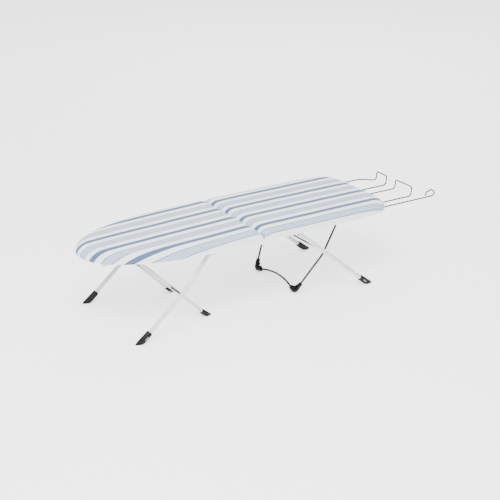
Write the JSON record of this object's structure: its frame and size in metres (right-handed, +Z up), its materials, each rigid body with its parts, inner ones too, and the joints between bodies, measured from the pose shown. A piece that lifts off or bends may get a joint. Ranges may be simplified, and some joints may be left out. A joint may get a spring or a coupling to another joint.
{
  "type": "folding tabletop ironing board",
  "caption": "Low tabletop ironing board that folds across the middle, with a pointed and a square end, crossed folding legs and a sliding wire rest for the iron.",
  "frame": {"origin": "on the floor, at the centre of the object's length and width, iron rest pulled out", "axes": "+X from the pointed end to the square end and iron rest, +Y to the left seen from the pointed end looking along +X, +Z up"},
  "size_m": [1.109, 0.348, 0.24],
  "materials": {
    "cover_cloth": "woven cotton with lengthwise stripes",
    "pad_foam": "soft foam",
    "white_enamel": "gloss powder coat",
    "bright_wire": "polished",
    "plated_steel": "zinc plated",
    "black_plastic": "moulded, semi-gloss"
  },
  "bodies": {
    "tail_half": {"tail_cover": "cover_cloth", "tail_pad": "pad_foam", "tail_deck": "white_enamel", "tail_rim": "white_enamel", "tail_hinge_rail": "white_enamel", "tail_inner_rail": "white_enamel", "tail_outer_rail": "white_enamel", "tail_leg_brackets": "white_enamel", "tail_leg_rivets": "plated_steel", "tail_catch_plates": "white_enamel", "rest_inner_guide": "plated_steel", "rest_outer_guide": "plated_steel", "tail_hinge_leaves": "plated_steel", "tail_hinge_pins": "plated_steel"},
    "fold_links": {"hinge_links": "plated_steel"},
    "nose_half": {"nose_cover": "cover_cloth", "nose_pad": "pad_foam", "nose_deck": "white_enamel", "nose_rim": "white_enamel", "nose_hinge_rail": "white_enamel", "nose_front_rail": "white_enamel", "nose_leg_brackets": "white_enamel", "nose_leg_rivets": "plated_steel", "nose_catch_plates": "white_enamel", "nose_hinge_leaves": "plated_steel", "nose_hinge_pins": "plated_steel"},
    "nose_outer_legs": {"nose_outer_leg_left": "white_enamel", "nose_outer_leg_right": "white_enamel", "nose_pivot_rod": "bright_wire", "nose_rod_caps": "black_plastic", "nose_rod_washers": "plated_steel", "nose_outer_foot_left": "black_plastic", "nose_outer_foot_right": "black_plastic"},
    "nose_inner_legs": {"nose_inner_frame": "white_enamel", "nose_inner_foot_left": "black_plastic", "nose_inner_foot_right": "black_plastic"},
    "tail_outer_legs": {"tail_outer_leg_left": "white_enamel", "tail_outer_leg_right": "white_enamel", "tail_pivot_rod": "bright_wire", "tail_rod_caps": "black_plastic", "tail_rod_washers": "plated_steel", "tail_outer_foot_left": "black_plastic", "tail_outer_foot_right": "black_plastic"},
    "tail_inner_legs": {"tail_inner_wire": "bright_wire", "tail_inner_foot_left": "black_plastic", "tail_inner_foot_right": "black_plastic"},
    "iron_rest": {"iron_rest_wire": "bright_wire", "iron_rest_cross_wire": "bright_wire"}
  },
  "joints": [
    {"name": "fold_link", "type": "hinge", "parent": "tail_half", "child": "fold_links", "pos_m": [-0.064, 0, 0.224], "axis": [0, 1, 0], "range_deg": [0, 89.5]},
    {"name": "nose_fold", "type": "hinge", "parent": "fold_links", "child": "nose_half", "pos_m": [-0.097, 0, 0.224], "axis": [0, 1, 0], "range_deg": [0, 89.5]},
    {"name": "nose_leg_fold", "type": "hinge", "parent": "nose_half", "child": "nose_outer_legs", "pos_m": [-0.22761, 0, 0.204], "axis": [0, 1, 0], "range_deg": [0, 39]},
    {"name": "nose_inner_fold", "type": "hinge", "parent": "nose_outer_legs", "child": "nose_inner_legs", "pos_m": [-0.3365, 0, 0.111], "axis": [0, 1, 0], "range_deg": [-82.4, 0]},
    {"name": "tail_leg_fold", "type": "hinge", "parent": "tail_half", "child": "tail_outer_legs", "pos_m": [0.04193, 0, 0.204], "axis": [0, -1, 0], "range_deg": [0, 38.8]},
    {"name": "tail_inner_fold", "type": "hinge", "parent": "tail_outer_legs", "child": "tail_inner_legs", "pos_m": [0.1315, 0, 0.1275], "axis": [0, -1, 0], "range_deg": [-97.8, 0]},
    {"name": "rest_slide", "type": "slide", "parent": "tail_half", "child": "iron_rest", "axis": [-1, 0, 0], "range_m": [0, 0.115]}
  ],
  "couplings": [
    {"joint": "nose_fold", "follows": "fold_link", "ratio": 1},
    {"joint": "nose_inner_fold", "follows": "nose_leg_fold", "ratio": -2.1111},
    {"joint": "tail_inner_fold", "follows": "tail_leg_fold", "ratio": -2.513}
  ]
}
